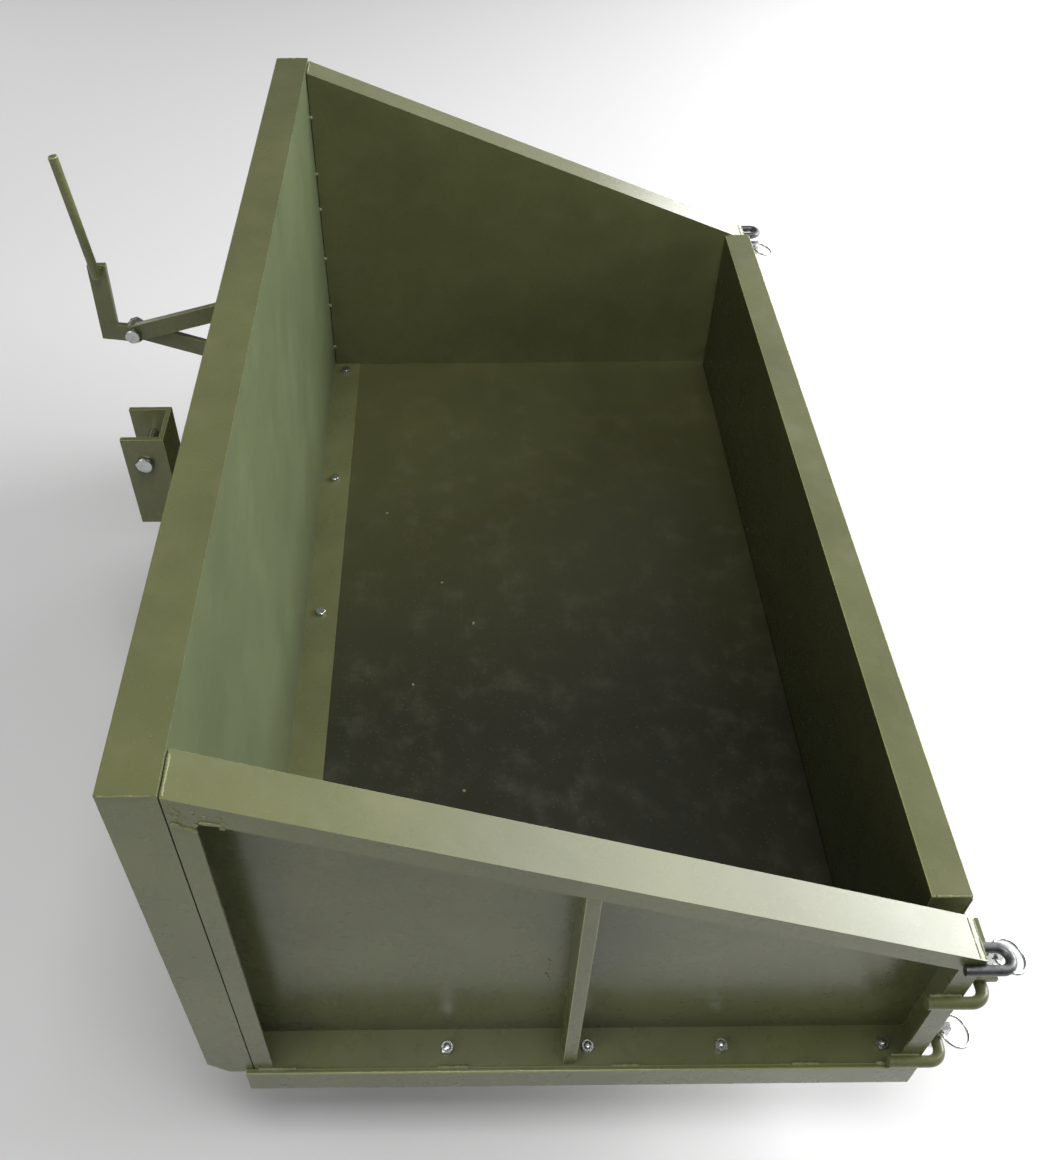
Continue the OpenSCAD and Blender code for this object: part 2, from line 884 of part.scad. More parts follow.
module handle_rod() {
    lean = -5;
    overlap = 14;
    color(olive) translate([latch_x - handle_d / 2, lever_y + crank_end[0],
                            lever_z + crank_end[1] - overlap])
        rotate([lean, 0, 0]) cylinder(d = handle_d, h = handle_l + overlap);
}

floor_sheet();
left_sill();
right_sill();
front_wall();
left_side_wall();
right_side_wall();
left_side_rim();
right_side_rim();
left_stiffener();
right_stiffener();
left_floor_rail();
right_floor_rail();
floor_cross_rib();
left_pivot_lugs();
right_pivot_lugs();
catch_bracket();
catch_pin();
left_hinge_bar();
right_hinge_bar();
left_keeper_bar();
right_keeper_bar();
left_lashing_eye();
right_lashing_eye();
front_floor_bolts();
side_floor_bolts();
corner_bolts();
tailgate_panel();
left_hinge_strap();
right_hinge_strap();
left_latch_tab();
right_latch_tab();
left_hinge_lynch_pin();
right_hinge_lynch_pin();
left_latch_lynch_pin();
right_latch_lynch_pin();
left_hinge_lynch_ring();
right_hinge_lynch_ring();
left_latch_lynch_ring();
right_latch_lynch_ring();
lower_hitch_tube();
rear_foot_tube();
left_arm();
right_arm();
left_upright();
right_upright();
upper_hitch_tube();
top_link_bracket();
top_link_bolt();
link_plates();
left_link_pin();
right_link_pin();
lever_bracket();
lever_pivot_bolt();
rubber_buffers();
tip_pins();
latch_lever();
handle_rod();
tube_plugs();
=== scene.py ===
"""Looks of a tipping transport box for a tractor's three-point linkage, on its CAD frame."""

import json
import math
import random

import bpy
from mathutils import Matrix, Vector


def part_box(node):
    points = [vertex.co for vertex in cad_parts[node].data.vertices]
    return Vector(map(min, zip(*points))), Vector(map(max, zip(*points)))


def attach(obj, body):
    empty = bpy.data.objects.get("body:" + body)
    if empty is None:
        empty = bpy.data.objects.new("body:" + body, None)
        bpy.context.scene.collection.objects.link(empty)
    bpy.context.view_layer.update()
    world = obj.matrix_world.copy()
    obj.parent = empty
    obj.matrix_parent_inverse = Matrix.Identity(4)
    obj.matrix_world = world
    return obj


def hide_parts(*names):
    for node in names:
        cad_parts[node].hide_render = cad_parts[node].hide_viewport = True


bl_info = {
    "name": "Tipping Transport Box",
    "version": (1, 0, 0),
    "blender": (4, 5, 0),
    "location": "View3D > Sidebar > Transport Box",
    "description": "Paint, fasteners, welds and stage of a tipping transport box",
    "category": "Object",
}

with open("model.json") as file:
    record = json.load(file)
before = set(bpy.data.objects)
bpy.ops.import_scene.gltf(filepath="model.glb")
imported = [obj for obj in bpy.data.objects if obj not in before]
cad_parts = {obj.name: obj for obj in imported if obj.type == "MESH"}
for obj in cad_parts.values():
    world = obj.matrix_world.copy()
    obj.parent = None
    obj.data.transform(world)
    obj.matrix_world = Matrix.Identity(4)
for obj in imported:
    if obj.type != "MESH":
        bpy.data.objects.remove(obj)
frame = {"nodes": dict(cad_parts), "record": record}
NODES = frame["nodes"]
BODY_OF = {n: b for b, ns in frame["record"]["behaviour"]["bodies"].items() for n in ns}
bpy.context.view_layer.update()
MM = 0.001

# Places in metres, read from the CAD frame
FLOOR_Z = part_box("front_wall")[0].z
WALL_FLANGE = 44 * MM
FRONT_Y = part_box("front_wall")[0].y + WALL_FLANGE
REAR_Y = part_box("left_side_wall")[0].y
OUT_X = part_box("right_side_rim")[1].x
IN_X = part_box("right_side_wall")[0].x
WALL_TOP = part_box("front_wall")[1].z
SIDE_TOP_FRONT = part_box("right_side_wall")[1].z
STIFFENER_Y = sum(v.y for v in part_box("right_stiffener")) / 2
SHEET = 3 * MM
# Open seam left between the front wall and each side wall
CORNER_GAP = 1.3 * MM


# ---------- settings ----------


def colour_setting(name, description, value):
    return bpy.props.StringProperty(name=name, description=description, default=value)


class BoxFinish(bpy.types.PropertyGroup):
    """Colours and gloss of the finishes."""

    paint: colour_setting("Paint", "Olive enamel on flanges and frame", "#5D603E")
    paint_green: colour_setting("Green face", "Enamel on the front wall's inner face", "#5A6347")
    # Olive enamel darkened as painted shade, for faces low in the box or turned from the light
    shaded_paint: colour_setting("Dark paint", "Enamel low in the box", "#404127")
    dust: colour_setting("Dust", "Pale dust lying on the paint", "#8E8C76")
    paint_gloss: bpy.props.FloatProperty(
        name="Paint roughness", description="Roughness of the enamel", default=0.27,
        min=0.05, max=1.0, subtype="FACTOR")
    zinc: colour_setting("Zinc", "Bright zinc plating on bolts and pins", "#C9CCC9")
    steel: colour_setting("Steel", "Dull steel of the lashing eyes and link pins", "#6E6F70")
    rubber: colour_setting("Rubber", "Moulded black rubber", "#202021")


class BoxDetail(bpy.types.PropertyGroup):
    """Sizes of the small details."""

    bend: bpy.props.FloatProperty(
        name="Bend radius", description="Rounding of folded sheet edges", default=1.2 * MM,
        min=0.2 * MM, max=3 * MM, unit="LENGTH")
    ripple: bpy.props.FloatProperty(
        name="Weld ripple", description="Spacing of the ripples along a weld", default=3.6 * MM,
        min=1 * MM, max=8 * MM, unit="LENGTH")
    pitch: bpy.props.FloatProperty(
        name="Thread pitch", description="Pitch of the bolts' threads", default=1.25 * MM,
        min=0.5 * MM, max=2.5 * MM, unit="LENGTH")
    seed: bpy.props.IntProperty(
        name="Seed", description="Starts the random wander of welds and bolts", default=7)


# ---------- materials ----------


def linear(hex_colour):
    """An sRGB hex colour as linear RGBA."""
    parts = [int(hex_colour[i:i + 2], 16) / 255 for i in (1, 3, 5)]
    return tuple(c / 12.92 if c <= 0.04045 else ((c + 0.055) / 1.055) ** 2.4
                 for c in parts) + (1.0,)


def add_node(tree, kind, settings=None, sockets=None, links=None):
    """Adds a node with its settings, its sockets' values and its incoming links."""
    made = tree.nodes.new(kind)
    for key, value in (settings or {}).items():
        setattr(made, key, value)
    for key, value in (sockets or {}).items():
        made.inputs[key].default_value = value
    for key, source in (links or {}).items():
        tree.links.new(source, made.inputs[key])
    return made


def new_material(name, **sockets):
    """A material with a Principled shader whose even values stand on its own sockets."""
    made = bpy.data.materials.new(name)
    made.use_nodes = True
    shader = made.node_tree.nodes["Principled BSDF"]
    for key, value in sockets.items():
        shader.inputs[key.replace("_", " ")].default_value = value
    return made, made.node_tree, shader


def ramp(tree, source, low, high, dark=0.0, light=1.0):
    """Maps source from low..high to dark..light."""
    return add_node(tree, "ShaderNodeMapRange", {"clamp": True},
                    {"From Min": low, "From Max": high, "To Min": dark, "To Max": light},
                    {"Value": source}).outputs["Result"]


def mixed(tree, share, a, b):
    """Colour a turning to colour b; each is a hex colour or an output."""
    node = add_node(tree, "ShaderNodeMix", {"data_type": "RGBA"}, None, {0: share})
    for socket, value in ((node.inputs[6], a), (node.inputs[7], b)):
        if isinstance(value, str):
            socket.default_value = linear(value)
        else:
            tree.links.new(value, socket)
    return node.outputs[2]


def shade_hex(hex_colour, factor):
    return "#" + "".join(f"{max(0, min(255, round(int(hex_colour[i:i + 2], 16) * factor))):02X}"
                         for i in (1, 3, 5))


def enamel(name, base, dusty=0.12, rough=None, wear=0.0, near_wall_shade=0.0, peel_depth=0.10):
    """Alkyd enamel sprayed on steel sheet: semi-gloss, with a faint orange peel."""
    finish = bpy.context.scene.box_finish
    rough = finish.paint_gloss if rough is None else rough
    made, tree, shader = new_material(name, Coat_Weight=0.0)
    place = add_node(tree, "ShaderNodeTexCoord").outputs["Object"]
    # Clouds about 150 mm across where the spray went on thicker
    clouds = add_node(tree, "ShaderNodeTexNoise", None,
                      {"Scale": 6.5, "Detail": 4.0, "Roughness": 0.55}, {"Vector": place})
    # Rubbed and dusty patches about 40 mm across
    patches = add_node(tree, "ShaderNodeTexNoise", None,
                       {"Scale": 24.0, "Detail": 6.0, "Roughness": 0.65}, {"Vector": place})
    # Specks of dust and overspray under 1 mm, drawn at 2 mm so that they show
    specks = add_node(tree, "ShaderNodeTexVoronoi", {"feature": "F1"},
                      {"Scale": 160.0, "Randomness": 1.0}, {"Vector": place})
    # Orange peel with waves of about 2 mm
    peel = add_node(tree, "ShaderNodeTexNoise", None,
                    {"Scale": 420.0, "Detail": 2.0, "Roughness": 0.5}, {"Vector": place})
    tone = mixed(tree, ramp(tree, clouds.outputs["Fac"], 0.35, 0.68),
                 shade_hex(base, 0.95), shade_hex(base, 1.05))
    if near_wall_shade:
        # Darker toward -X: painted shade cast by the near side wall, its strength a guess
        across = add_node(tree, "ShaderNodeSeparateXYZ", None, None, {"Vector": place})
        tone = mixed(tree, ramp(tree, across.outputs["X"], -IN_X, IN_X, near_wall_shade, 0.0),
                     tone, shade_hex(base, 0.45))
    dust_share = ramp(tree, patches.outputs["Fac"], 0.52, 0.8, 0.0, dusty)
    tone = mixed(tree, dust_share, tone, finish.dust)
    speck_share = ramp(tree, specks.outputs["Distance"], 0.06, 0.11, 0.35, 0.0)
    tone = mixed(tree, speck_share, tone, finish.dust)
    if wear:
        # Short scratches along the load's way, a millimetre wide and up to 80 mm long
        turned = add_node(tree, "ShaderNodeMapping", None,
                          {"Scale": (14.0, 190.0, 60.0), "Rotation": (0.0, 0.0, 0.35)},
                          {"Vector": place})
        scratches = add_node(tree, "ShaderNodeTexNoise", None,
                             {"Scale": 1.0, "Detail": 5.0, "Roughness": 0.7},
                             {"Vector": turned.outputs["Vector"]})
        tone = mixed(tree, ramp(tree, scratches.outputs["Fac"], 0.66, 0.74, 0.0, wear),
                     tone, finish.dust)
    tree.links.new(tone, shader.inputs["Base Color"])
    tree.links.new(ramp(tree, patches.outputs["Fac"], 0.3, 0.75, rough - 0.03, rough + 0.06),
                   shader.inputs["Roughness"])
    bump = add_node(tree, "ShaderNodeBump", None, {"Strength": peel_depth, "Distance": 0.4 * MM},
                    {"Height": peel.outputs["Fac"]})
    # Slow waves left in thin sheet by folding and welding, under a millimetre deep
    waves = add_node(tree, "ShaderNodeTexNoise", None,
                     {"Scale": 5.0, "Detail": 1.0, "Roughness": 0.4}, {"Vector": place})
    warp = add_node(tree, "ShaderNodeBump", None, {"Strength": 0.2, "Distance": 1.6 * MM},
                    {"Height": waves.outputs["Fac"], "Normal": bump.outputs["Normal"]})
    tree.links.new(warp.outputs["Normal"], shader.inputs["Normal"])
    return made


def plated(name, base, rough, grain, spots):
    """Electroplated or bare steel: metallic, finely scratched, with dull spots."""
    made, tree, shader = new_material(name, Metallic=1.0)
    place = add_node(tree, "ShaderNodeTexCoord").outputs["Object"]
    fine = add_node(tree, "ShaderNodeTexNoise", None,
                    {"Scale": grain, "Detail": 5.0, "Roughness": 0.6}, {"Vector": place})
    dull = add_node(tree, "ShaderNodeTexNoise", None,
                    {"Scale": 110.0, "Detail": 3.0, "Roughness": 0.6}, {"Vector": place})
    share = ramp(tree, dull.outputs["Fac"], 0.45, 0.7, 0.0, spots)
    tree.links.new(mixed(tree, share, base, shade_hex(base, 0.55)), shader.inputs["Base Color"])
    tree.links.new(ramp(tree, fine.outputs["Fac"], 0.3, 0.7, rough - 0.08, rough + 0.12),
                   shader.inputs["Roughness"])
    bump = add_node(tree, "ShaderNodeBump", None, {"Strength": 0.15, "Distance": 0.15 * MM},
                    {"Height": fine.outputs["Fac"]})
    tree.links.new(bump.outputs["Normal"], shader.inputs["Normal"])
    return made


def moulded(name, base, rough):
    """Moulded black rubber or plastic: matt, with a fine grain and a little bloom."""
    made, tree, shader = new_material(name, IOR=1.5)
    place = add_node(tree, "ShaderNodeTexCoord").outputs["Object"]
    grain = add_node(tree, "ShaderNodeTexNoise", None,
                     {"Scale": 900.0, "Detail": 3.0, "Roughness": 0.6}, {"Vector": place})
    bloom = add_node(tree, "ShaderNodeTexNoise", None,
                     {"Scale": 60.0, "Detail": 4.0, "Roughness": 0.6}, {"Vector": place})
    tree.links.new(mixed(tree, ramp(tree, bloom.outputs["Fac"], 0.4, 0.8, 0.0, 0.3),
                         base, "#4A4A48"), shader.inputs["Base Color"])
    tree.links.new(ramp(tree, grain.outputs["Fac"], 0.3, 0.7, rough - 0.08, rough + 0.08),
                   shader.inputs["Roughness"])
    bump = add_node(tree, "ShaderNodeBump", None, {"Strength": 0.2, "Distance": 0.2 * MM},
                    {"Height": grain.outputs["Fac"]})
    tree.links.new(bump.outputs["Normal"], shader.inputs["Normal"])
    return made


def material(name):
    """A finish of the box, made the first time it is asked for."""
    if name in bpy.data.materials:
        return bpy.data.materials[name]
    finish = bpy.context.scene.box_finish
    # Semi-gloss olive enamel: broad soft highlights on flat sheet
    if name == "olive_enamel":
        return enamel(name, finish.paint)
    # The same enamel, greener and duller on the front wall's clean, smooth inner face
    if name == "green_enamel":
        return enamel(name, finish.paint_green, 0.03, 0.34, peel_depth=0.03)
    # Enamel low in the box and on the tailgate's broad faces: darker as painted shade, with more
    # dust and light scratches
    if name == "shaded_enamel":
        return enamel(name, finish.shaded_paint, 0.08, None, 0.1)
    # The floor's enamel: rubbed duller by loads; its base is the darker enamel, darkened further
    # toward -X by guess, both painted shade
    if name == "floor_enamel":
        return enamel(name, shade_hex(finish.shaded_paint, 1.25), 0.1, 0.36, 0.06, 1.5)
    # The same enamel on folds and sheared edges, paler as a painted highlight along them, with a
    # sharper shine
    if name == "olive_enamel_edge":
        return enamel(name, shade_hex(finish.paint, 1.5), 0.3, 0.2)
    # The folds of the darker and the floor enamel: paler, a painted highlight
    if name in ("shaded_enamel_edge", "floor_enamel_edge"):
        return enamel(name, shade_hex(finish.paint, 1.1), 0.3, 0.2)
    # Near-white enamel on the top inner folds: a painted highlight
    if name == "painted_highlight_edge":
        return enamel(name, "#C3C8AE", 0.5, 0.25)
    # Enamel over rough welds: the ripples break its highlights up
    if name == "weld_enamel":
        return enamel(name, shade_hex(finish.paint, 1.12), 0.45, 0.42)
    # Bright zinc plating on forged bolts: a silvery, slightly clouded shine
    if name == "zinc_plating":
        return plated(name, finish.zinc, 0.24, 900.0, 0.35)
    # Hot rolled round steel, dull grey with mill scale
    if name == "mill_steel":
        return plated(name, finish.steel, 0.42, 500.0, 0.6)
    # Moulded natural rubber: matt black with grey bloom
    if name == "moulded_rubber":
        return moulded(name, finish.rubber, 0.62)
    # Moulded polyethylene plug: waxy black
    if name == "moulded_polyethylene":
        return moulded(name, finish.rubber, 0.42)
    raise ValueError(f"no finish named {name}")


# ---------- mesh helpers ----------


def only(*objects):
    """Selects just these objects and makes the first one active."""
    if bpy.context.mode != "OBJECT":
        bpy.ops.object.mode_set(mode="OBJECT")
    bpy.ops.object.select_all(action="DESELECT")
    for o in objects:
        o.select_set(True)
    bpy.context.view_layer.objects.active = objects[0]
    return objects[0]


def apply_modifier(obj, kind, **settings):
    only(obj)
    bpy.ops.object.modifier_add(type=kind)
    modifier = obj.modifiers[-1]
    for key, value in settings.items():
        setattr(modifier, key, value)
    bpy.ops.object.modifier_apply(modifier=modifier.name)


def smooth(obj, angle=32):
    only(obj)
    bpy.ops.object.shade_smooth_by_angle(angle=math.radians(angle))


def placed(obj, matrix):
    """Moves a mesh into place and leaves its object at the origin."""
    obj.data.transform(matrix)
    obj.data.update()
    return obj


def copy_of(obj, matrix):
    """A copy with its own mesh, moved by matrix."""
    made = obj.copy()
    made.data = obj.data.copy()
    bpy.context.scene.collection.objects.link(made)
    return placed(made, matrix)


def joined(name, objects):
    """Several meshes as one named piece at the origin."""
    only(*objects)
    if len(objects) > 1:
        bpy.ops.object.join()
    obj = bpy.context.view_layer.objects.active
    obj.name = name
    obj.data.name = name
    bpy.ops.object.transform_apply(location=True, rotation=True, scale=True)
    return obj


def finish_piece(obj, name, body, finish, nodes=()):
    """Names a piece, paints it, and ties it to its body and the nodes it stands for."""
    obj.name = name
    obj.data.name = name
    if finish:
        obj.data.materials.clear()
        obj.data.materials.append(material(finish))
    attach(obj, body)
    if nodes:
        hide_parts(*nodes)
    return obj


# Finishes whose roundings take a paler enamel, a painted highlight along the folds
EDGED = ("olive_enamel", "shaded_enamel", "floor_enamel")


def cleaned(obj):
    """Merges a copied mesh's loose triangles back into whole flat faces."""
    only(obj)
    bpy.ops.object.mode_set(mode="EDIT")
    bpy.ops.mesh.select_all(action="SELECT")
    bpy.ops.mesh.remove_doubles(threshold=0.01 * MM)
    bpy.ops.mesh.dissolve_limited(angle_limit=math.radians(0.6))
    bpy.ops.object.mode_set(mode="OBJECT")
    return obj


def node_copy(node):
    """A free copy of a CAD node with whole flat faces."""
    made = NODES[node].copy()
    made.data = NODES[node].data.copy()
    made.parent = None
    for key in [k for k in made.keys() if k.startswith("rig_")]:
        del made[key]
    bpy.context.scene.collection.objects.link(made)
    return cleaned(made)


def folded(node, width, finish, segments=2):
    """A CAD node's shape with its edges rounded as folding, rolling or grinding leaves them."""
    made = node_copy(node)
    nodes = [node]
    if node.endswith("_side_wall"):
        # The sheet and its flanges are one folded piece, set a little back from the front wall
        rim = node.replace("_wall", "_rim")
        other = node_copy(rim)
        nodes.append(rim)
        apply_modifier(made, "BOOLEAN", object=other, operation="UNION", solver="EXACT")
        bpy.data.objects.remove(other)
        cleaned(made)
        for vertex in made.data.vertices:
            if vertex.co.y > FRONT_Y - 0.1 * MM:
                vertex.co.y -= CORNER_GAP
    edged = finish in EDGED
    finish_piece(made, node + "_skin", BODY_OF[node], finish, nodes)
    # A second slot: the paler edge enamel, a painted highlight on the roundings
    if edged:
        made.data.materials.append(material(finish + "_edge"))
    if width:
        apply_modifier(made, "BEVEL", width=width, segments=segments, limit_method="ANGLE",
                       angle_limit=math.radians(38), use_clamp_overlap=True,
                       material=1 if edged else -1)
    smooth(made)
    # Wide flat faces keep their own direction, so only the roundings shade off
    apply_modifier(made, "WEIGHTED_NORMAL", mode="FACE_AREA", weight=80, keep_sharp=True)
    return made


def solids(node):
    """The boxes of a CAD node's separate solids, as (low, high) corners."""
    mesh = NODES[node].data
    key = [tuple(round(c, 5) for c in v.co) for v in mesh.vertices]
    home = {k: k for k in key}

    def root(k):
        while home[k] != k:
            home[k] = home[home[k]]
            k = home[k]
        return k

    for polygon in mesh.polygons:
        first = root(key[polygon.vertices[0]])
        for i in polygon.vertices[1:]:
            home[root(key[i])] = first
    groups = {}
    for k in home:
        groups.setdefault(root(k), []).append(k)
    return [(Vector(min(p[i] for p in g) for i in range(3)),
             Vector(max(p[i] for p in g) for i in range(3))) for g in groups.values()]


# ---------- fasteners ----------


def hexagon(af, height, bore=0.0, both=False):
    """A forged hexagon on z = 0 with its corners turned off at 30 degrees."""
    bpy.ops.object.select_all(action="DESELECT")
    bpy.ops.mesh.primitive_cylinder_add(vertices=6, radius=af / math.sqrt(3), depth=height,
                                        location=(0, 0, height / 2))
    block = bpy.context.object
    flat = 0.95 * af / 2
    slope = math.tan(math.radians(30))
    reach = 0.35 * af
    tools = []
    for sign in ((1, -1) if both else (1,)):
        face = height if sign > 0 else 0.0
        bpy.ops.mesh.primitive_cone_add(
            vertices=48, radius1=flat + (height + reach) / slope, radius2=flat,
            depth=height + reach, location=(0, 0, 0))
        cone = bpy.context.object
        turn = Matrix.Identity(4) if sign > 0 else Matrix.Rotation(math.pi, 4, "X")
        placed(cone, Matrix.Translation((0, 0, face)) @ turn
               @ Matrix.Translation((0, 0, -(height + reach) / 2)))
        tools.append((cone, "INTERSECT"))
    if bore:
        bpy.ops.mesh.primitive_cylinder_add(vertices=32, radius=bore, depth=3 * height,
                                            location=(0, 0, 0))
        tools.append((bpy.context.object, "DIFFERENCE"))
    only(block)
    bpy.ops.object.transform_apply(location=True, rotation=False, scale=False)
    for tool, operation in tools:
        apply_modifier(block, "BOOLEAN", object=tool, operation=operation, solver="EXACT")
        bpy.data.objects.remove(tool)
    apply_modifier(block, "BEVEL", width=0.35 * MM, segments=2, limit_method="ANGLE",
                   angle_limit=math.radians(25), use_clamp_overlap=True)
    return block


def thread_end(d, length, pitch):
    """A rolled thread from z = 0 up to length: a core, a helical ridge and a turned tip."""
    bpy.ops.object.select_all(action="DESELECT")
    root = d / 2 - 0.61 * pitch
    turns = max(1, int(length / pitch) - 1)
    bpy.ops.mesh.primitive_circle_add(vertices=3, radius=pitch / 2, fill_type="NOTHING")
    ridge = bpy.context.object
    rim = [(root - 0.1 * pitch, -0.46), (d / 2, 0.0), (root - 0.1 * pitch, 0.46)]
    for vertex, (r, z) in zip(ridge.data.vertices, rim):
        vertex.co = (r, 0, (z + 0.5) * pitch)
    apply_modifier(ridge, "SCREW", axis="Z", angle=2 * math.pi, screw_offset=pitch,
                   iterations=turns, steps=20, render_steps=20)
    only(ridge)
    bpy.ops.object.mode_set(mode="EDIT")
    bpy.ops.mesh.select_all(action="SELECT")
    bpy.ops.mesh.remove_doubles(threshold=0.001 * MM)
    bpy.ops.mesh.fill_holes(sides=3)
    bpy.ops.mesh.normals_make_consistent(inside=False)
    bpy.ops.object.mode_set(mode="OBJECT")
    bpy.ops.object.select_all(action="DESELECT")
    bpy.ops.mesh.primitive_cylinder_add(vertices=24, radius=root, depth=length,
                                        location=(0, 0, length / 2))
    core = bpy.context.object
    only(core)
    bpy.ops.object.transform_apply(location=True, rotation=False, scale=False)
    apply_modifier(core, "BEVEL", width=0.6 * MM, segments=2, limit_method="ANGLE",
                   angle_limit=math.radians(60))
    return joined("thread_end", [ridge, core])


AXES = {"x": Vector((1, 0, 0)), "y": Vector((0, 1, 0)), "z": Vector((0, 0, 1))}


def fastener_set(name, node, axis, head_sign, sizes):
    """Bolts and nuts in the places of a CAD node's solids, with chamfered hexagons and threads."""
    detail = bpy.context.scene.box_detail
    rng = random.Random(detail.seed + len(name))
    d, af, head_h, nut_h = (s * MM for s in sizes)
    index = "xyz".index(axis)
    found = sorted(solids(node), key=lambda s: s[1][index] - s[0][index], reverse=True)
    bolts = [s for s in found if s[1][index] - s[0][index] > nut_h + 2 * head_h]
    nuts = [s for s in found if s not in bolts]
    out = AXES[axis] * head_sign
    face_out = out.to_track_quat("Z", "X").to_matrix().to_4x4()
    face_in = (-out).to_track_quat("Z", "X").to_matrix().to_4x4()
    head = hexagon(af, head_h)
    washer_nut = hexagon(af, nut_h, d / 2 - 0.2 * MM, True)
    pieces = []

    def put(master, place, facing):
        spin = Matrix.Rotation(rng.uniform(0, math.pi / 3), 4, "Z")
        pieces.append(copy_of(master, Matrix.Translation(place) @ facing @ spin))

    for low, high in bolts:
        middle = (low + high) / 2
        start = high[index] if head_sign > 0 else low[index]
        tail = low[index] if head_sign > 0 else high[index]
        place = middle.copy()
        place[index] = start - head_sign * head_h
        put(head, place, face_out)
        near = min(nuts, key=lambda s: ((s[0] + s[1]) / 2 - middle).length)
        nut_face = near[0][index] if head_sign > 0 else near[1][index]
        shank = abs(place[index] - nut_face)
        bpy.ops.object.select_all(action="DESELECT")
        bpy.ops.mesh.primitive_cylinder_add(vertices=24, radius=d / 2 - 0.25 * MM,
                                            depth=shank, location=(0, 0, shank / 2))
        rod = bpy.context.object
        only(rod)
        bpy.ops.object.transform_apply(location=True, rotation=False, scale=False)
        apply_modifier(rod, "BEVEL", width=0.2 * MM, segments=1, limit_method="ANGLE",
                       angle_limit=math.radians(60))
        pieces.append(placed(rod, Matrix.Translation(place) @ face_in))
        end = middle.copy()
        end[index] = nut_face + head_sign * 1.0 * MM
        stub = thread_end(d, abs(tail - end[index]), detail.pitch)
        pieces.append(placed(stub, Matrix.Translation(end) @ face_in))
    for low, high in nuts:
        place = (low + high) / 2
        place[index] = high[index] if head_sign > 0 else low[index]
        put(washer_nut, place, face_in)
    for master in (head, washer_nut):
        bpy.data.objects.remove(master)
    obj = joined(name, pieces)
    smooth(obj, 30)
    return finish_piece(obj, name, BODY_OF[node], "zinc_plating", [node])


# ---------- welds ----------


def bead(start, end, radius, rng):
    """A run of weld between two points, rippled where each puddle froze."""
    ripple = bpy.context.scene.box_detail.ripple
    a, b = Vector(start), Vector(end)
    run = (b - a).length
    along = (b - a).normalized()
    side = along.orthogonal().normalized()
    up = along.cross(side)
    rings = max(8, int(run / ripple * 5))
    sides = 10
    bpy.ops.object.select_all(action="DESELECT")
    bpy.ops.mesh.primitive_grid_add(x_subdivisions=rings, y_subdivisions=sides, size=2)
    obj = bpy.context.object
    # Places along the run where the hand slowed, and how far the puddle wandered there
    stops = max(3, int(run / (1.7 * ripple)) + 2)
    swell = [rng.uniform(-0.28, 0.28) for _ in range(stops + 1)]
    wander = [rng.uniform(-0.3, 0.3) * radius for _ in range(stops + 1)]
    for vertex in obj.data.vertices:
        t = (vertex.co.x + 1) / 2
        turn = (vertex.co.y + 1) * math.pi
        s = t * run
        ends = max(0.0, 1 - abs(2 * t - 1) ** max(4, run / radius)) ** 0.5
        phase = (s + 0.5 * radius * math.cos(turn)) / ripple
        at, share = divmod(t * (stops - 1), 1)
        share = share * share * (3 - 2 * share)
        fat = swell[int(at)] * (1 - share) + swell[int(at) + 1] * share
        off = wander[int(at)] * (1 - share) + wander[int(at) + 1] * share
        size = radius * ends * (0.78 + 0.26 * abs(math.sin(math.pi * phase)) + fat)
        vertex.co = a + along * s + (side + up) * off * ends * 0.5 \
            + (side * math.cos(turn) + up * math.sin(turn)) * size
    only(obj)
    bpy.ops.object.mode_set(mode="EDIT")
    bpy.ops.mesh.select_all(action="SELECT")
    bpy.ops.mesh.remove_doubles(threshold=0.02 * MM)
    bpy.ops.mesh.normals_make_consistent(inside=False)
    bpy.ops.object.mode_set(mode="OBJECT")
    return obj


def blob(place, radius, flat, normal, rng):
    """A tack or a drop of spatter: a flattened, uneven drop on a surface."""
    bpy.ops.object.select_all(action="DESELECT")
    bpy.ops.mesh.primitive_ico_sphere_add(subdivisions=2, radius=1.0)
    obj = bpy.context.object
    for vertex in obj.data.vertices:
        vertex.co *= 1 + rng.uniform(-0.14, 0.14)
    facing = Vector(normal).to_track_quat("Z", "X").to_matrix().to_4x4()
    return placed(obj, Matrix.Translation(place) @ facing
                  @ Matrix.Diagonal((radius, radius, radius * flat, 1)))


def mirrored_x(point):
    return (-point[0], point[1], point[2])


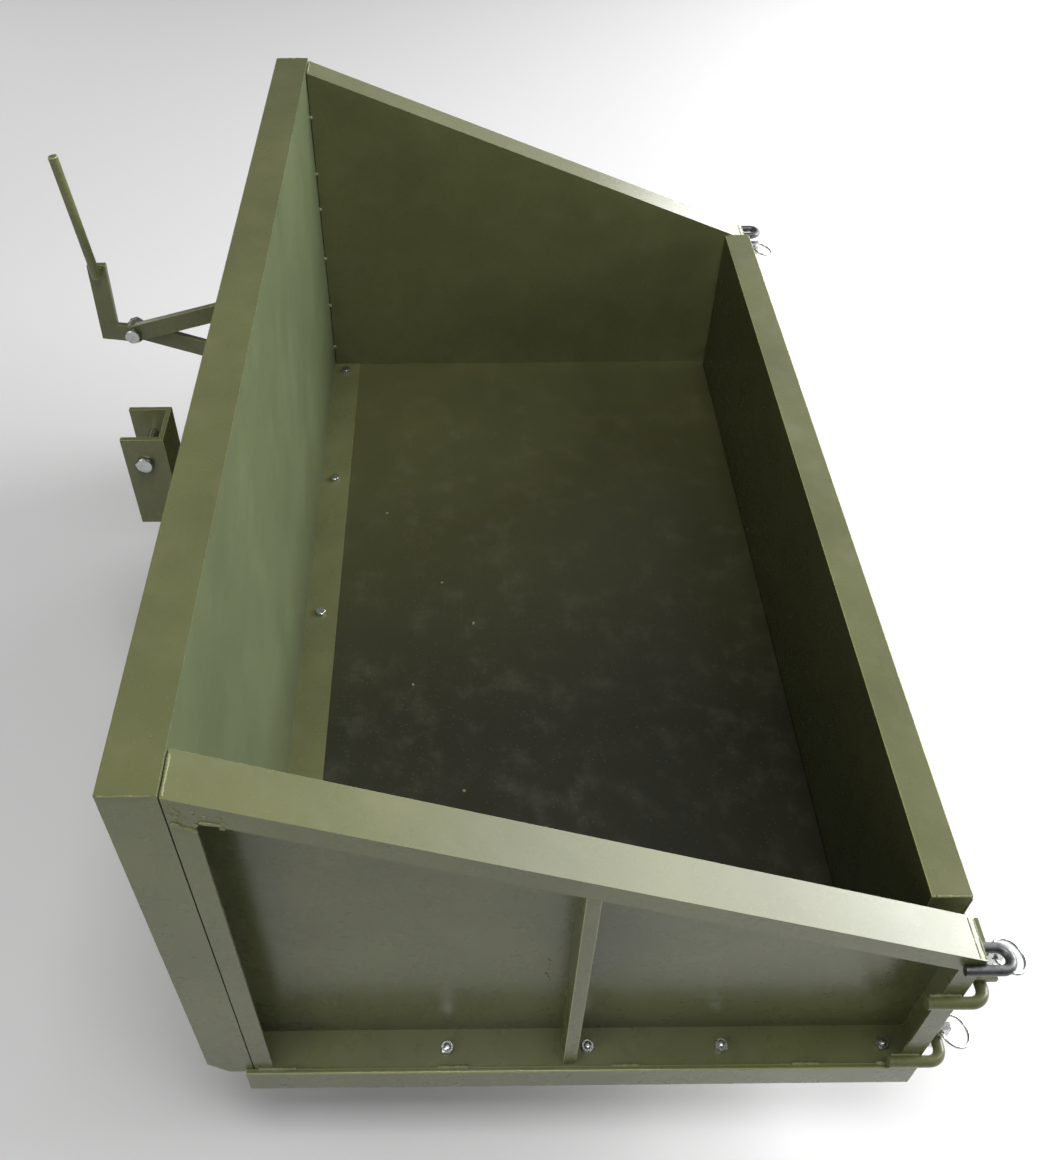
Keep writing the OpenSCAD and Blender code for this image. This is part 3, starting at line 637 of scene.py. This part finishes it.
def weld_runs():
    """Every run of weld as (body, start, end, radius), in millimetres, on the +X side."""
    box, gate, hitch, lever = "load_box", "tailgate", "hitch_frame", "latch_lever"
    floor = FLOOR_Z / MM
    front, rear, out, inside = (v / MM for v in (FRONT_Y, REAR_Y, OUT_X, IN_X))
    top, wall_top = SIDE_TOP_FRONT / MM, WALL_TOP / MM
    runs = []

    def both(body, start, end, radius):
        runs.append((body, start, end, radius))
        runs.append((body, mirrored_x(start), mirrored_x(end), radius))

    # Mitre of the side wall's rim at its front corner, and the ground end of the top flange
    both(box, (out + 0.2, front - 3, top - 33), (out + 0.2, front - 22, top - 46), 1.9)
    both(box, (out - 1, front - 2, top - 1), (inside + 4, front - 2, top - 0.5), 1.6)
    both(box, (out + 0.1, front - 24, top - 33), (out + 0.1, front - 42, top - 38), 1.5)
    # Seams across the top flange at its rear end
    rear_rise = floor + 239
    both(box, (inside + 2, rear + 7, rear_rise + 2.4), (out - 1, rear + 7, rear_rise + 2.4), 1.0)
    both(box, (inside + 2, rear + 1, rear_rise - 0.3), (out - 1, rear + 1, rear_rise - 0.3), 1.3)
    # Sill to side wall: a rough run at each end and stitches between
    for y0, y1 in ((front - 4, front - 46), (front - 190, front - 226), (front - 372, front - 404),
                   (front - 560, front - 592), (rear + 44, rear + 6)):
        both(box, (out + 0.6, y0, floor + 7.2), (out + 0.6, y1, floor + 7.2), 2.3)
    # Stiffener to the bottom flange
    mid = STIFFENER_Y / MM
    for y in (mid - 6.4, mid + 6.4):
        both(box, (inside + 8, y, floor + 3.2), (out - 8, y, floor + 3.2), 1.7)
    # Rim of the front wall: corner runs
    both(box, (out + 0.1, front + 3, wall_top - 1), (out + 0.1, front + 44, wall_top - 1), 1.2)
    # Round bars and eyes to the lips behind
    for node in ("right_hinge_bar", "right_keeper_bar", "right_lashing_eye"):
        low, high = (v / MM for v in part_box(node))
        radius = (high.z - low.z) / 2
        z = (high.z + low.z) / 2
        for side in (-1, 1):
            height = z + side * radius * 0.8
            if node == "right_lashing_eye":
                height = z - radius * 0.85
                if side > 0:
                    continue
            both(box, (out + 0.8, high.y - 2, height), (out + 0.8, rear + 3, height), 2.1)
    # Catch bracket to the front wall
    low, high = (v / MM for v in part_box("catch_bracket"))
    for x in (low.x, low.x + 6, high.x - 6, high.x):
        runs.append((box, (x, low.y + 0.6, low.z + 2), (x, low.y + 0.6, high.z - 2), 2.0))
    # Pivot lugs to the rails
    low, high = (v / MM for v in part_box("right_pivot_lugs"))
    rail_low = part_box("right_floor_rail")[0].z / MM
    for x in (low.x + 8, high.x - 8):
        both(box, (x, low.y + 2, rail_low - 0.4), (x, high.y - 2, rail_low - 0.4), 2.2)
    # Tailgate: ends of the rim, straps and tabs
    low, high = (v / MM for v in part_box("tailgate_panel"))
    end = high.x - 0.3
    both(gate, (end, high.y - 4, high.z - 0.4), (end, low.y + 2, high.z - 0.4), 1.4)
    both(gate, (end, low.y + 0.4, high.z - 4), (end, low.y + 0.4, low.z + 4), 1.3)
    low, high = (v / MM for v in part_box("right_hinge_strap"))
    for z in (low.z, high.z):
        both(gate, (low.x + 3, rear - 0.8, z), (low.x + 34, rear - 0.8, z), 2.0)
    low, high = (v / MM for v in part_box("right_latch_tab"))
    both(gate, (low.x + 2, rear - 0.9, high.z), (low.x + 16, rear - 0.9, high.z), 2.0)
    # Hitch frame: cheeks, uprights, plates, arms and lever bracket
    low, high = (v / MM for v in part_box("top_link_bracket"))
    tube_low, tube_high = (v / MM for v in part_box("upper_hitch_tube"))
    both(hitch, (high.x + 0.4, tube_high.y + 0.6, low.z + 20),
         (high.x + 0.4, tube_high.y + 0.6, tube_high.z - 2), 2.6)
    runs.append((hitch, (low.x + 4, tube_high.y + 0.4, tube_high.z),
                 (high.x - 4, tube_high.y + 0.4, tube_high.z), 2.4))
    head_low = tube_low.z
    for y in (tube_low.y + 0.2, tube_high.y - 0.2):
        both(hitch, (190, y, head_low), (240, y, head_low), 2.6)
        both(hitch, (275, y, 60.2), (326, y, 60.2), 2.8)
    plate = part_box("link_plates")[1] / MM
    for y in (-30.4, 30.4):
        both(hitch, (plate.x - 6.8, y, 3), (plate.x - 6.8, y, 58), 2.6)
    for x in (200, 250):
        both(hitch, (x, -29, 60.3), (x, 29, 60.3), 2.6)
        both(hitch, (x, -574, 60.3), (x, -516, 60.3), 2.6)
    low, high = (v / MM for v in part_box("lever_bracket"))
    for x in (low.x, high.x):
        runs.append((hitch, (x, -9, tube_high.z + 0.2), (x, 21, tube_high.z + 0.2), 2.4))
    # Lever: the handle rod lies in the end of the flat bar
    low, high = (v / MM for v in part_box("handle_rod"))
    lever_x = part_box("latch_lever")[0].x / MM
    for y in (low.y + 1.2, low.y + 10.8):
        runs.append((lever, (lever_x - 0.4, y, low.z + 2), (lever_x - 0.4, y, low.z + 13), 1.8))
    return runs


def weld_spots():
    """Tacks and spatter as (body, place, radius, flatness, normal), in millimetres."""
    floor = FLOOR_Z / MM
    front, inside = FRONT_Y / MM, IN_X / MM
    mid, rear = STIFFENER_Y / MM, REAR_Y / MM
    spots = []
    for side in (-1, 1):
        for z in (38, 122, 212, 300, 360, 450):
            spots.append(("load_box", (side * (inside - 1.0), front - 1.0, floor + z), 3.4, 0.6,
                          (-side, -1, 0)))
        rng = random.Random(11 + side)
        for y0, z0, z1, count in ((mid + 27, 112, 176, 12), (rear + 52, 92, 150, 12)):
            for _ in range(count):
                spots.append(("load_box", (side * (inside + 3.0), y0 + rng.gauss(0, 2.0),
                                           floor + rng.uniform(z0, z1)),
                              rng.uniform(0.5, 1.5), 0.6, (side, 0, 0)))
    # Ground and pitted weld at the front corners of the side walls' rims
    out, top = OUT_X / MM, SIDE_TOP_FRONT / MM
    for side in (-1, 1):
        rng = random.Random(21 + side)
        for _ in range(26):
            back = rng.uniform(4, 44)
            spots.append(("load_box", (side * (out + 0.1), front - back,
                                       top - 6 - 0.42 * back - rng.uniform(0, 22)),
                          rng.uniform(0.9, 2.6), 0.3, (side, 0, 0)))
    rng = random.Random(5)
    # Stray drops on the floor and a few beside the bolts
    for x, y in ((60, -300), (-130, -262), (-20, -345), (210, -214), (-300, -330)):
        spots.append(("load_box", (x, y, floor), rng.uniform(1.6, 2.6), 0.45, (0, 0, 1)))
    return spots


# ---------- operators ----------

# Node: rounding as a share of the bend radius, finish, slot
SHEET_WORK = {
    "floor_sheet": (0.9, "floor_enamel", "olive_paint_shaded"),
    "left_sill": (1.2, "olive_enamel", "olive_paint"),
    "right_sill": (1.2, "olive_enamel", "olive_paint"),
    "front_wall": (1.0, "olive_enamel", "olive_paint"),
    "left_side_wall": (1.0, "olive_enamel", "olive_paint"),
    "right_side_wall": (1.0, "olive_enamel", "olive_paint"),
    "left_stiffener": (0.8, "olive_enamel", "olive_paint"),
    "right_stiffener": (0.8, "olive_enamel", "olive_paint"),
    "tailgate_panel": (1.0, "olive_enamel", "olive_paint_shaded"),
}

FRAME_WORK = {
    # Rails, rib and lugs under the floor take the darker enamel: painted shade
    "left_floor_rail": (1.0, "shaded_enamel", "olive_paint_shaded"),
    "right_floor_rail": (1.0, "shaded_enamel", "olive_paint_shaded"),
    "floor_cross_rib": (1.0, "shaded_enamel", "olive_paint_shaded"),
    "left_pivot_lugs": (0.8, "shaded_enamel", "olive_paint_shaded"),
    "right_pivot_lugs": (0.8, "shaded_enamel", "olive_paint_shaded"),
    "catch_bracket": (0.8, "olive_enamel", "olive_paint"),
    "lower_hitch_tube": (1.3, "olive_enamel", "olive_paint"),
    "rear_foot_tube": (1.3, "olive_enamel", "olive_paint"),
    "left_arm": (1.3, "olive_enamel", "olive_paint"),
    "right_arm": (1.3, "olive_enamel", "olive_paint"),
    "left_upright": (1.3, "olive_enamel", "olive_paint"),
    "right_upright": (1.3, "olive_enamel", "olive_paint"),
    "upper_hitch_tube": (1.3, "olive_enamel", "olive_paint"),
    "top_link_bracket": (0.8, "olive_enamel", "olive_paint"),
    "link_plates": (0.8, "olive_enamel", "olive_paint"),
    "lever_bracket": (0.8, "olive_enamel", "olive_paint"),
    "latch_lever": (0.8, "olive_enamel", "olive_paint"),
    "handle_rod": (1.2, "olive_enamel", "olive_paint"),
    "rubber_buffers": (1.2, "moulded_rubber", "black_rubber"),
    "tube_plugs": (0.6, "moulded_polyethylene", "black_plastic"),
}

FITTINGS = {
    "left_hinge_bar": (0.8, "olive_enamel", "olive_paint"),
    "right_hinge_bar": (0.8, "olive_enamel", "olive_paint"),
    "left_keeper_bar": (0.8, "olive_enamel", "olive_paint"),
    "right_keeper_bar": (0.8, "olive_enamel", "olive_paint"),
    "left_lashing_eye": (0.7, "mill_steel", "bare_steel"),
    "right_lashing_eye": (0.7, "mill_steel", "bare_steel"),
    "left_hinge_strap": (0.8, "olive_enamel", "olive_paint"),
    "right_hinge_strap": (0.8, "olive_enamel", "olive_paint"),
    "left_latch_tab": (0.8, "olive_enamel", "olive_paint"),
    "right_latch_tab": (0.8, "olive_enamel", "olive_paint"),
    "left_hinge_lynch_pin": (0.8, "zinc_plating", "zinc_plated_steel"),
    "right_hinge_lynch_pin": (0.8, "zinc_plating", "zinc_plated_steel"),
    "left_latch_lynch_pin": (0.8, "zinc_plating", "zinc_plated_steel"),
    "right_latch_lynch_pin": (0.8, "zinc_plating", "zinc_plated_steel"),
    "left_hinge_lynch_ring": (0.0, "zinc_plating", "zinc_plated_steel"),
    "right_hinge_lynch_ring": (0.0, "zinc_plating", "zinc_plated_steel"),
    "left_latch_lynch_ring": (0.0, "zinc_plating", "zinc_plated_steel"),
    "right_latch_lynch_ring": (0.0, "zinc_plating", "zinc_plated_steel"),
    "catch_pin": (0.8, "zinc_plating", "zinc_plated_steel"),
    "tip_pins": (0.8, "zinc_plating", "zinc_plated_steel"),
    "left_link_pin": (0.6, "mill_steel", "bare_steel"),
    "right_link_pin": (0.6, "mill_steel", "bare_steel"),
}

# Name, node, axis, side of the head, and thread, flats, head and nut sizes in millimetres
FASTENERS = [
    ("front_floor_bolt_set", "front_floor_bolts", "z", 1, (8, 13, 5.3, 6.5)),
    ("side_floor_bolt_set", "side_floor_bolts", "z", -1, (8, 13, 5.3, 6.5)),
    ("corner_bolt_set", "corner_bolts", "y", -1, (8, 13, 5.3, 6.5)),
    ("top_link_bolt_set", "top_link_bolt", "x", -1, (12, 19, 7.5, 10)),
    ("lever_bolt_set", "lever_pivot_bolt", "x", -1, (12, 19, 7.5, 10)),
]


def fold_all(table):
    bend = bpy.context.scene.box_detail.bend
    for node, (share, finish, slot) in table.items():
        folded(node, share * bend, finish)


class BOX_OT_sheet(bpy.types.Operator):
    """Rounds and paints the folded sheet of the box and the tailgate"""

    bl_idname = "box.sheet"
    bl_label = "Folded sheet"

    def execute(self, context):
        fold_all(SHEET_WORK)
        wall = bpy.data.objects["front_wall_skin"]
        wall.data.materials.append(material("green_enamel"))
        for polygon in wall.data.polygons:
            if polygon.normal.y < -0.9 and polygon.center.y < FRONT_Y + 0.5 * SHEET \
                    and polygon.center.z > FLOOR_Z + 2 * SHEET:
                polygon.material_index = 2
            # The fold along the wall's top inner edge: a near-white painted highlight
            if polygon.material_index in (1, 2) and polygon.center.z > WALL_TOP - SHEET \
                    and abs(polygon.center.y - FRONT_Y) < SHEET \
                    and 0.05 < polygon.normal.z < 0.99:
                polygon.material_index = 3
        wall.data.materials.append(material("painted_highlight_edge"))
        for side in ("left", "right"):
            rim = bpy.data.objects[side + "_side_wall_skin"]
            rim.data.materials.append(material("painted_highlight_edge"))
            # The rounding along each rim's top inner edge: the same painted highlight
            for polygon in rim.data.polygons:
                if polygon.material_index == 1 and polygon.normal.z > 0.3 \
                        and abs(abs(polygon.center.x) - IN_X) < 2 * MM:
                    polygon.material_index = 2
        # The tailgate's broad faces take the darker enamel: painted shade, for the inner face
        # turned from the light
        gate = bpy.data.objects["tailgate_panel_skin"]
        gate.data.materials.append(material("shaded_enamel"))
        for polygon in gate.data.polygons:
            if abs(polygon.normal.y) > 0.9:
                polygon.material_index = 2
        return {"FINISHED"}


class BOX_OT_frame(bpy.types.Operator):
    """Rounds and paints the rails, the hitch frame and the lever"""

    bl_idname = "box.hitch"
    bl_label = "Hitch frame and lever"

    def execute(self, context):
        fold_all(FRAME_WORK)
        return {"FINISHED"}


class BOX_OT_fittings(bpy.types.Operator):
    """Finishes the bars, eyes, straps, tabs, pins and rings"""

    bl_idname = "box.fittings"
    bl_label = "Bars, pins and rings"

    def execute(self, context):
        fold_all(FITTINGS)
        return {"FINISHED"}


class BOX_OT_fasteners(bpy.types.Operator):
    """Makes the bolts and nuts with chamfered hexagons and rolled threads"""

    bl_idname = "box.fasteners"
    bl_label = "Bolts and nuts"

    def execute(self, context):
        for row in FASTENERS:
            fastener_set(*row)
        return {"FINISHED"}


class BOX_OT_welds(bpy.types.Operator):
    """Lays the rippled weld runs, the tacks and the spatter"""

    bl_idname = "box.welds"
    bl_label = "Welds"

    def execute(self, context):
        rng = random.Random(context.scene.box_detail.seed)
        by_body = {}
        for body, start, end, radius in weld_runs():
            by_body.setdefault(body, []).append(
                bead(Vector(start) * MM, Vector(end) * MM, radius * MM, rng))
        for body, place, radius, flat, normal in weld_spots():
            by_body.setdefault(body, []).append(
                blob(Vector(place) * MM, radius * MM, flat, normal, rng))
        for body, made in by_body.items():
            obj = joined(body + "_welds", made)
            smooth(obj, 60)
            finish_piece(obj, body + "_welds", body, "weld_enamel")
        return {"FINISHED"}


CAMERA_AT = (-1.1123, -0.3315, 1.4096)
CAMERA_RIGHT = (-0.0078, -1.0, -0.0059)
CAMERA_UP = (0.7251, -0.0097, 0.6886)
CAMERA_LENS = 36.03
CAMERA_SHIFT = (0.0565, 0.0027)
CLIP_NEAR, CLIP_FAR = 0.05, 60
SENSOR_WIDTH = 36

# The room is palest toward this way
WINDOW_WAY = (0.5, -0.86, 0.05)
ROOM_DIM, ROOM_PALE, ROOM_STRENGTH = "#5A5A5A", "#FFFFFF", 1.5
PAPER, PAPER_SIZE = "#DCDCDC", 30

# Name, place, aimed at, width and height, all in metres, and power in watts
LAMPS = (
    ("rear_window", (0.7, -3.5, 1.25), (0, -0.3, 0.4), (2.4, 0.9), 115),
    ("rear_panel", (0.7, -3.6, 2.8), (0, -0.3, 0.4), (3.0, 1.7), 80),
    ("far_window", (3.2, -2.4, 1.4), (0, -0.2, 0.5), (0.7, 0.7), 22),
    ("front_panel", (-1.7, 1.3, 1.5), (-0.5, -0.1, 0.4), (0.9, 0.8), 14),
    ("top_panel", (-1.0, -0.5, 3.3), (0.3, -0.4, 0.2), (1.2, 1.0), 50),
    ("front_fill", (2.6, 2.2, 1.6), (1.6, 1.6, 0), (1.2, 0.8), 12),
)


def softbox(name, place, aim, size, power):
    """A large soft area light aimed at a point."""
    data = bpy.data.lights.new(name, "AREA")
    data.shape = "RECTANGLE"
    data.size, data.size_y = size
    data.energy = power
    lamp = bpy.data.objects.new(name, data)
    bpy.context.scene.collection.objects.link(lamp)
    lamp.location = place
    lamp.rotation_euler = (Vector(aim) - Vector(place)).to_track_quat("-Z", "Y").to_euler()


class BOX_OT_stage(bpy.types.Operator):
    """Sets up the pale floor, the soft light and the camera"""

    bl_idname = "box.stage"
    bl_label = "Stage"

    def execute(self, context):
        scene = context.scene
        bpy.ops.object.select_all(action="DESELECT")
        bpy.ops.mesh.primitive_plane_add(size=PAPER_SIZE, location=(0, 0, 0))
        ground = bpy.context.object
        ground.name = "studio_floor"
        paper = new_material("studio_paper", Base_Color=linear(PAPER), Roughness=0.9)[0]
        ground.data.materials.append(paper)
        world = bpy.data.worlds.new("studio")
        scene.world = world
        world.use_nodes = True
        sky = world.node_tree
        # Brighter toward the windows behind the box than toward the tractor's side
        way = add_node(sky, "ShaderNodeTexCoord").outputs["Generated"]
        toward = add_node(sky, "ShaderNodeVectorMath", {"operation": "DOT_PRODUCT"},
                          {1: WINDOW_WAY}, {0: way}).outputs["Value"]
        shell = mixed(sky, ramp(sky, toward, 0.5, 1.0), ROOM_DIM, ROOM_PALE)
        sky.links.new(shell, sky.nodes["Background"].inputs["Color"])
        sky.nodes["Background"].inputs["Strength"].default_value = ROOM_STRENGTH
        for lamp in LAMPS:
            softbox(*lamp)
        scene.view_settings.view_transform = "Standard"
        scene.view_settings.look = "None"
        data = bpy.data.cameras.new("camera")
        data.lens = CAMERA_LENS
        data.sensor_width = SENSOR_WIDTH
        data.shift_x, data.shift_y = CAMERA_SHIFT
        data.clip_start, data.clip_end = CLIP_NEAR, CLIP_FAR
        cam = bpy.data.objects.new("camera", data)
        scene.collection.objects.link(cam)
        right, up = Vector(CAMERA_RIGHT).normalized(), Vector(CAMERA_UP).normalized()
        back = right.cross(up).normalized()
        up = back.cross(right)
        turn = Matrix((right, up, back)).transposed().to_4x4()
        cam.matrix_world = Matrix.Translation(CAMERA_AT) @ turn
        scene.camera = cam
        return {"FINISHED"}


class BOX_PT_panel(bpy.types.Panel):
    """Lists the steps that make the box's looks"""

    bl_idname = "BOX_PT_panel"
    bl_label = "Transport Box"
    bl_space_type = "VIEW_3D"
    bl_region_type = "UI"
    bl_category = "Transport Box"

    def draw(self, context):
        for group in (context.scene.box_finish, context.scene.box_detail):
            for name in group.__annotations__:
                self.layout.prop(group, name)
        for step in STEPS:
            self.layout.operator(step.bl_idname)


STEPS = (BOX_OT_stage, BOX_OT_sheet, BOX_OT_frame, BOX_OT_fittings, BOX_OT_fasteners,
         BOX_OT_welds)
CLASSES = (BoxFinish, BoxDetail, *STEPS, BOX_PT_panel)


def register():
    for cls in CLASSES:
        bpy.utils.register_class(cls)
    bpy.types.Scene.box_finish = bpy.props.PointerProperty(type=BoxFinish)
    bpy.types.Scene.box_detail = bpy.props.PointerProperty(type=BoxDetail)


def unregister():
    del bpy.types.Scene.box_detail
    del bpy.types.Scene.box_finish
    for cls in reversed(CLASSES):
        bpy.utils.unregister_class(cls)


def main():
    register()
    for step in (bpy.ops.box.stage, bpy.ops.box.sheet, bpy.ops.box.hitch,
                 bpy.ops.box.fittings, bpy.ops.box.fasteners, bpy.ops.box.welds):
        step()


if __name__ == "__main__":
    main()
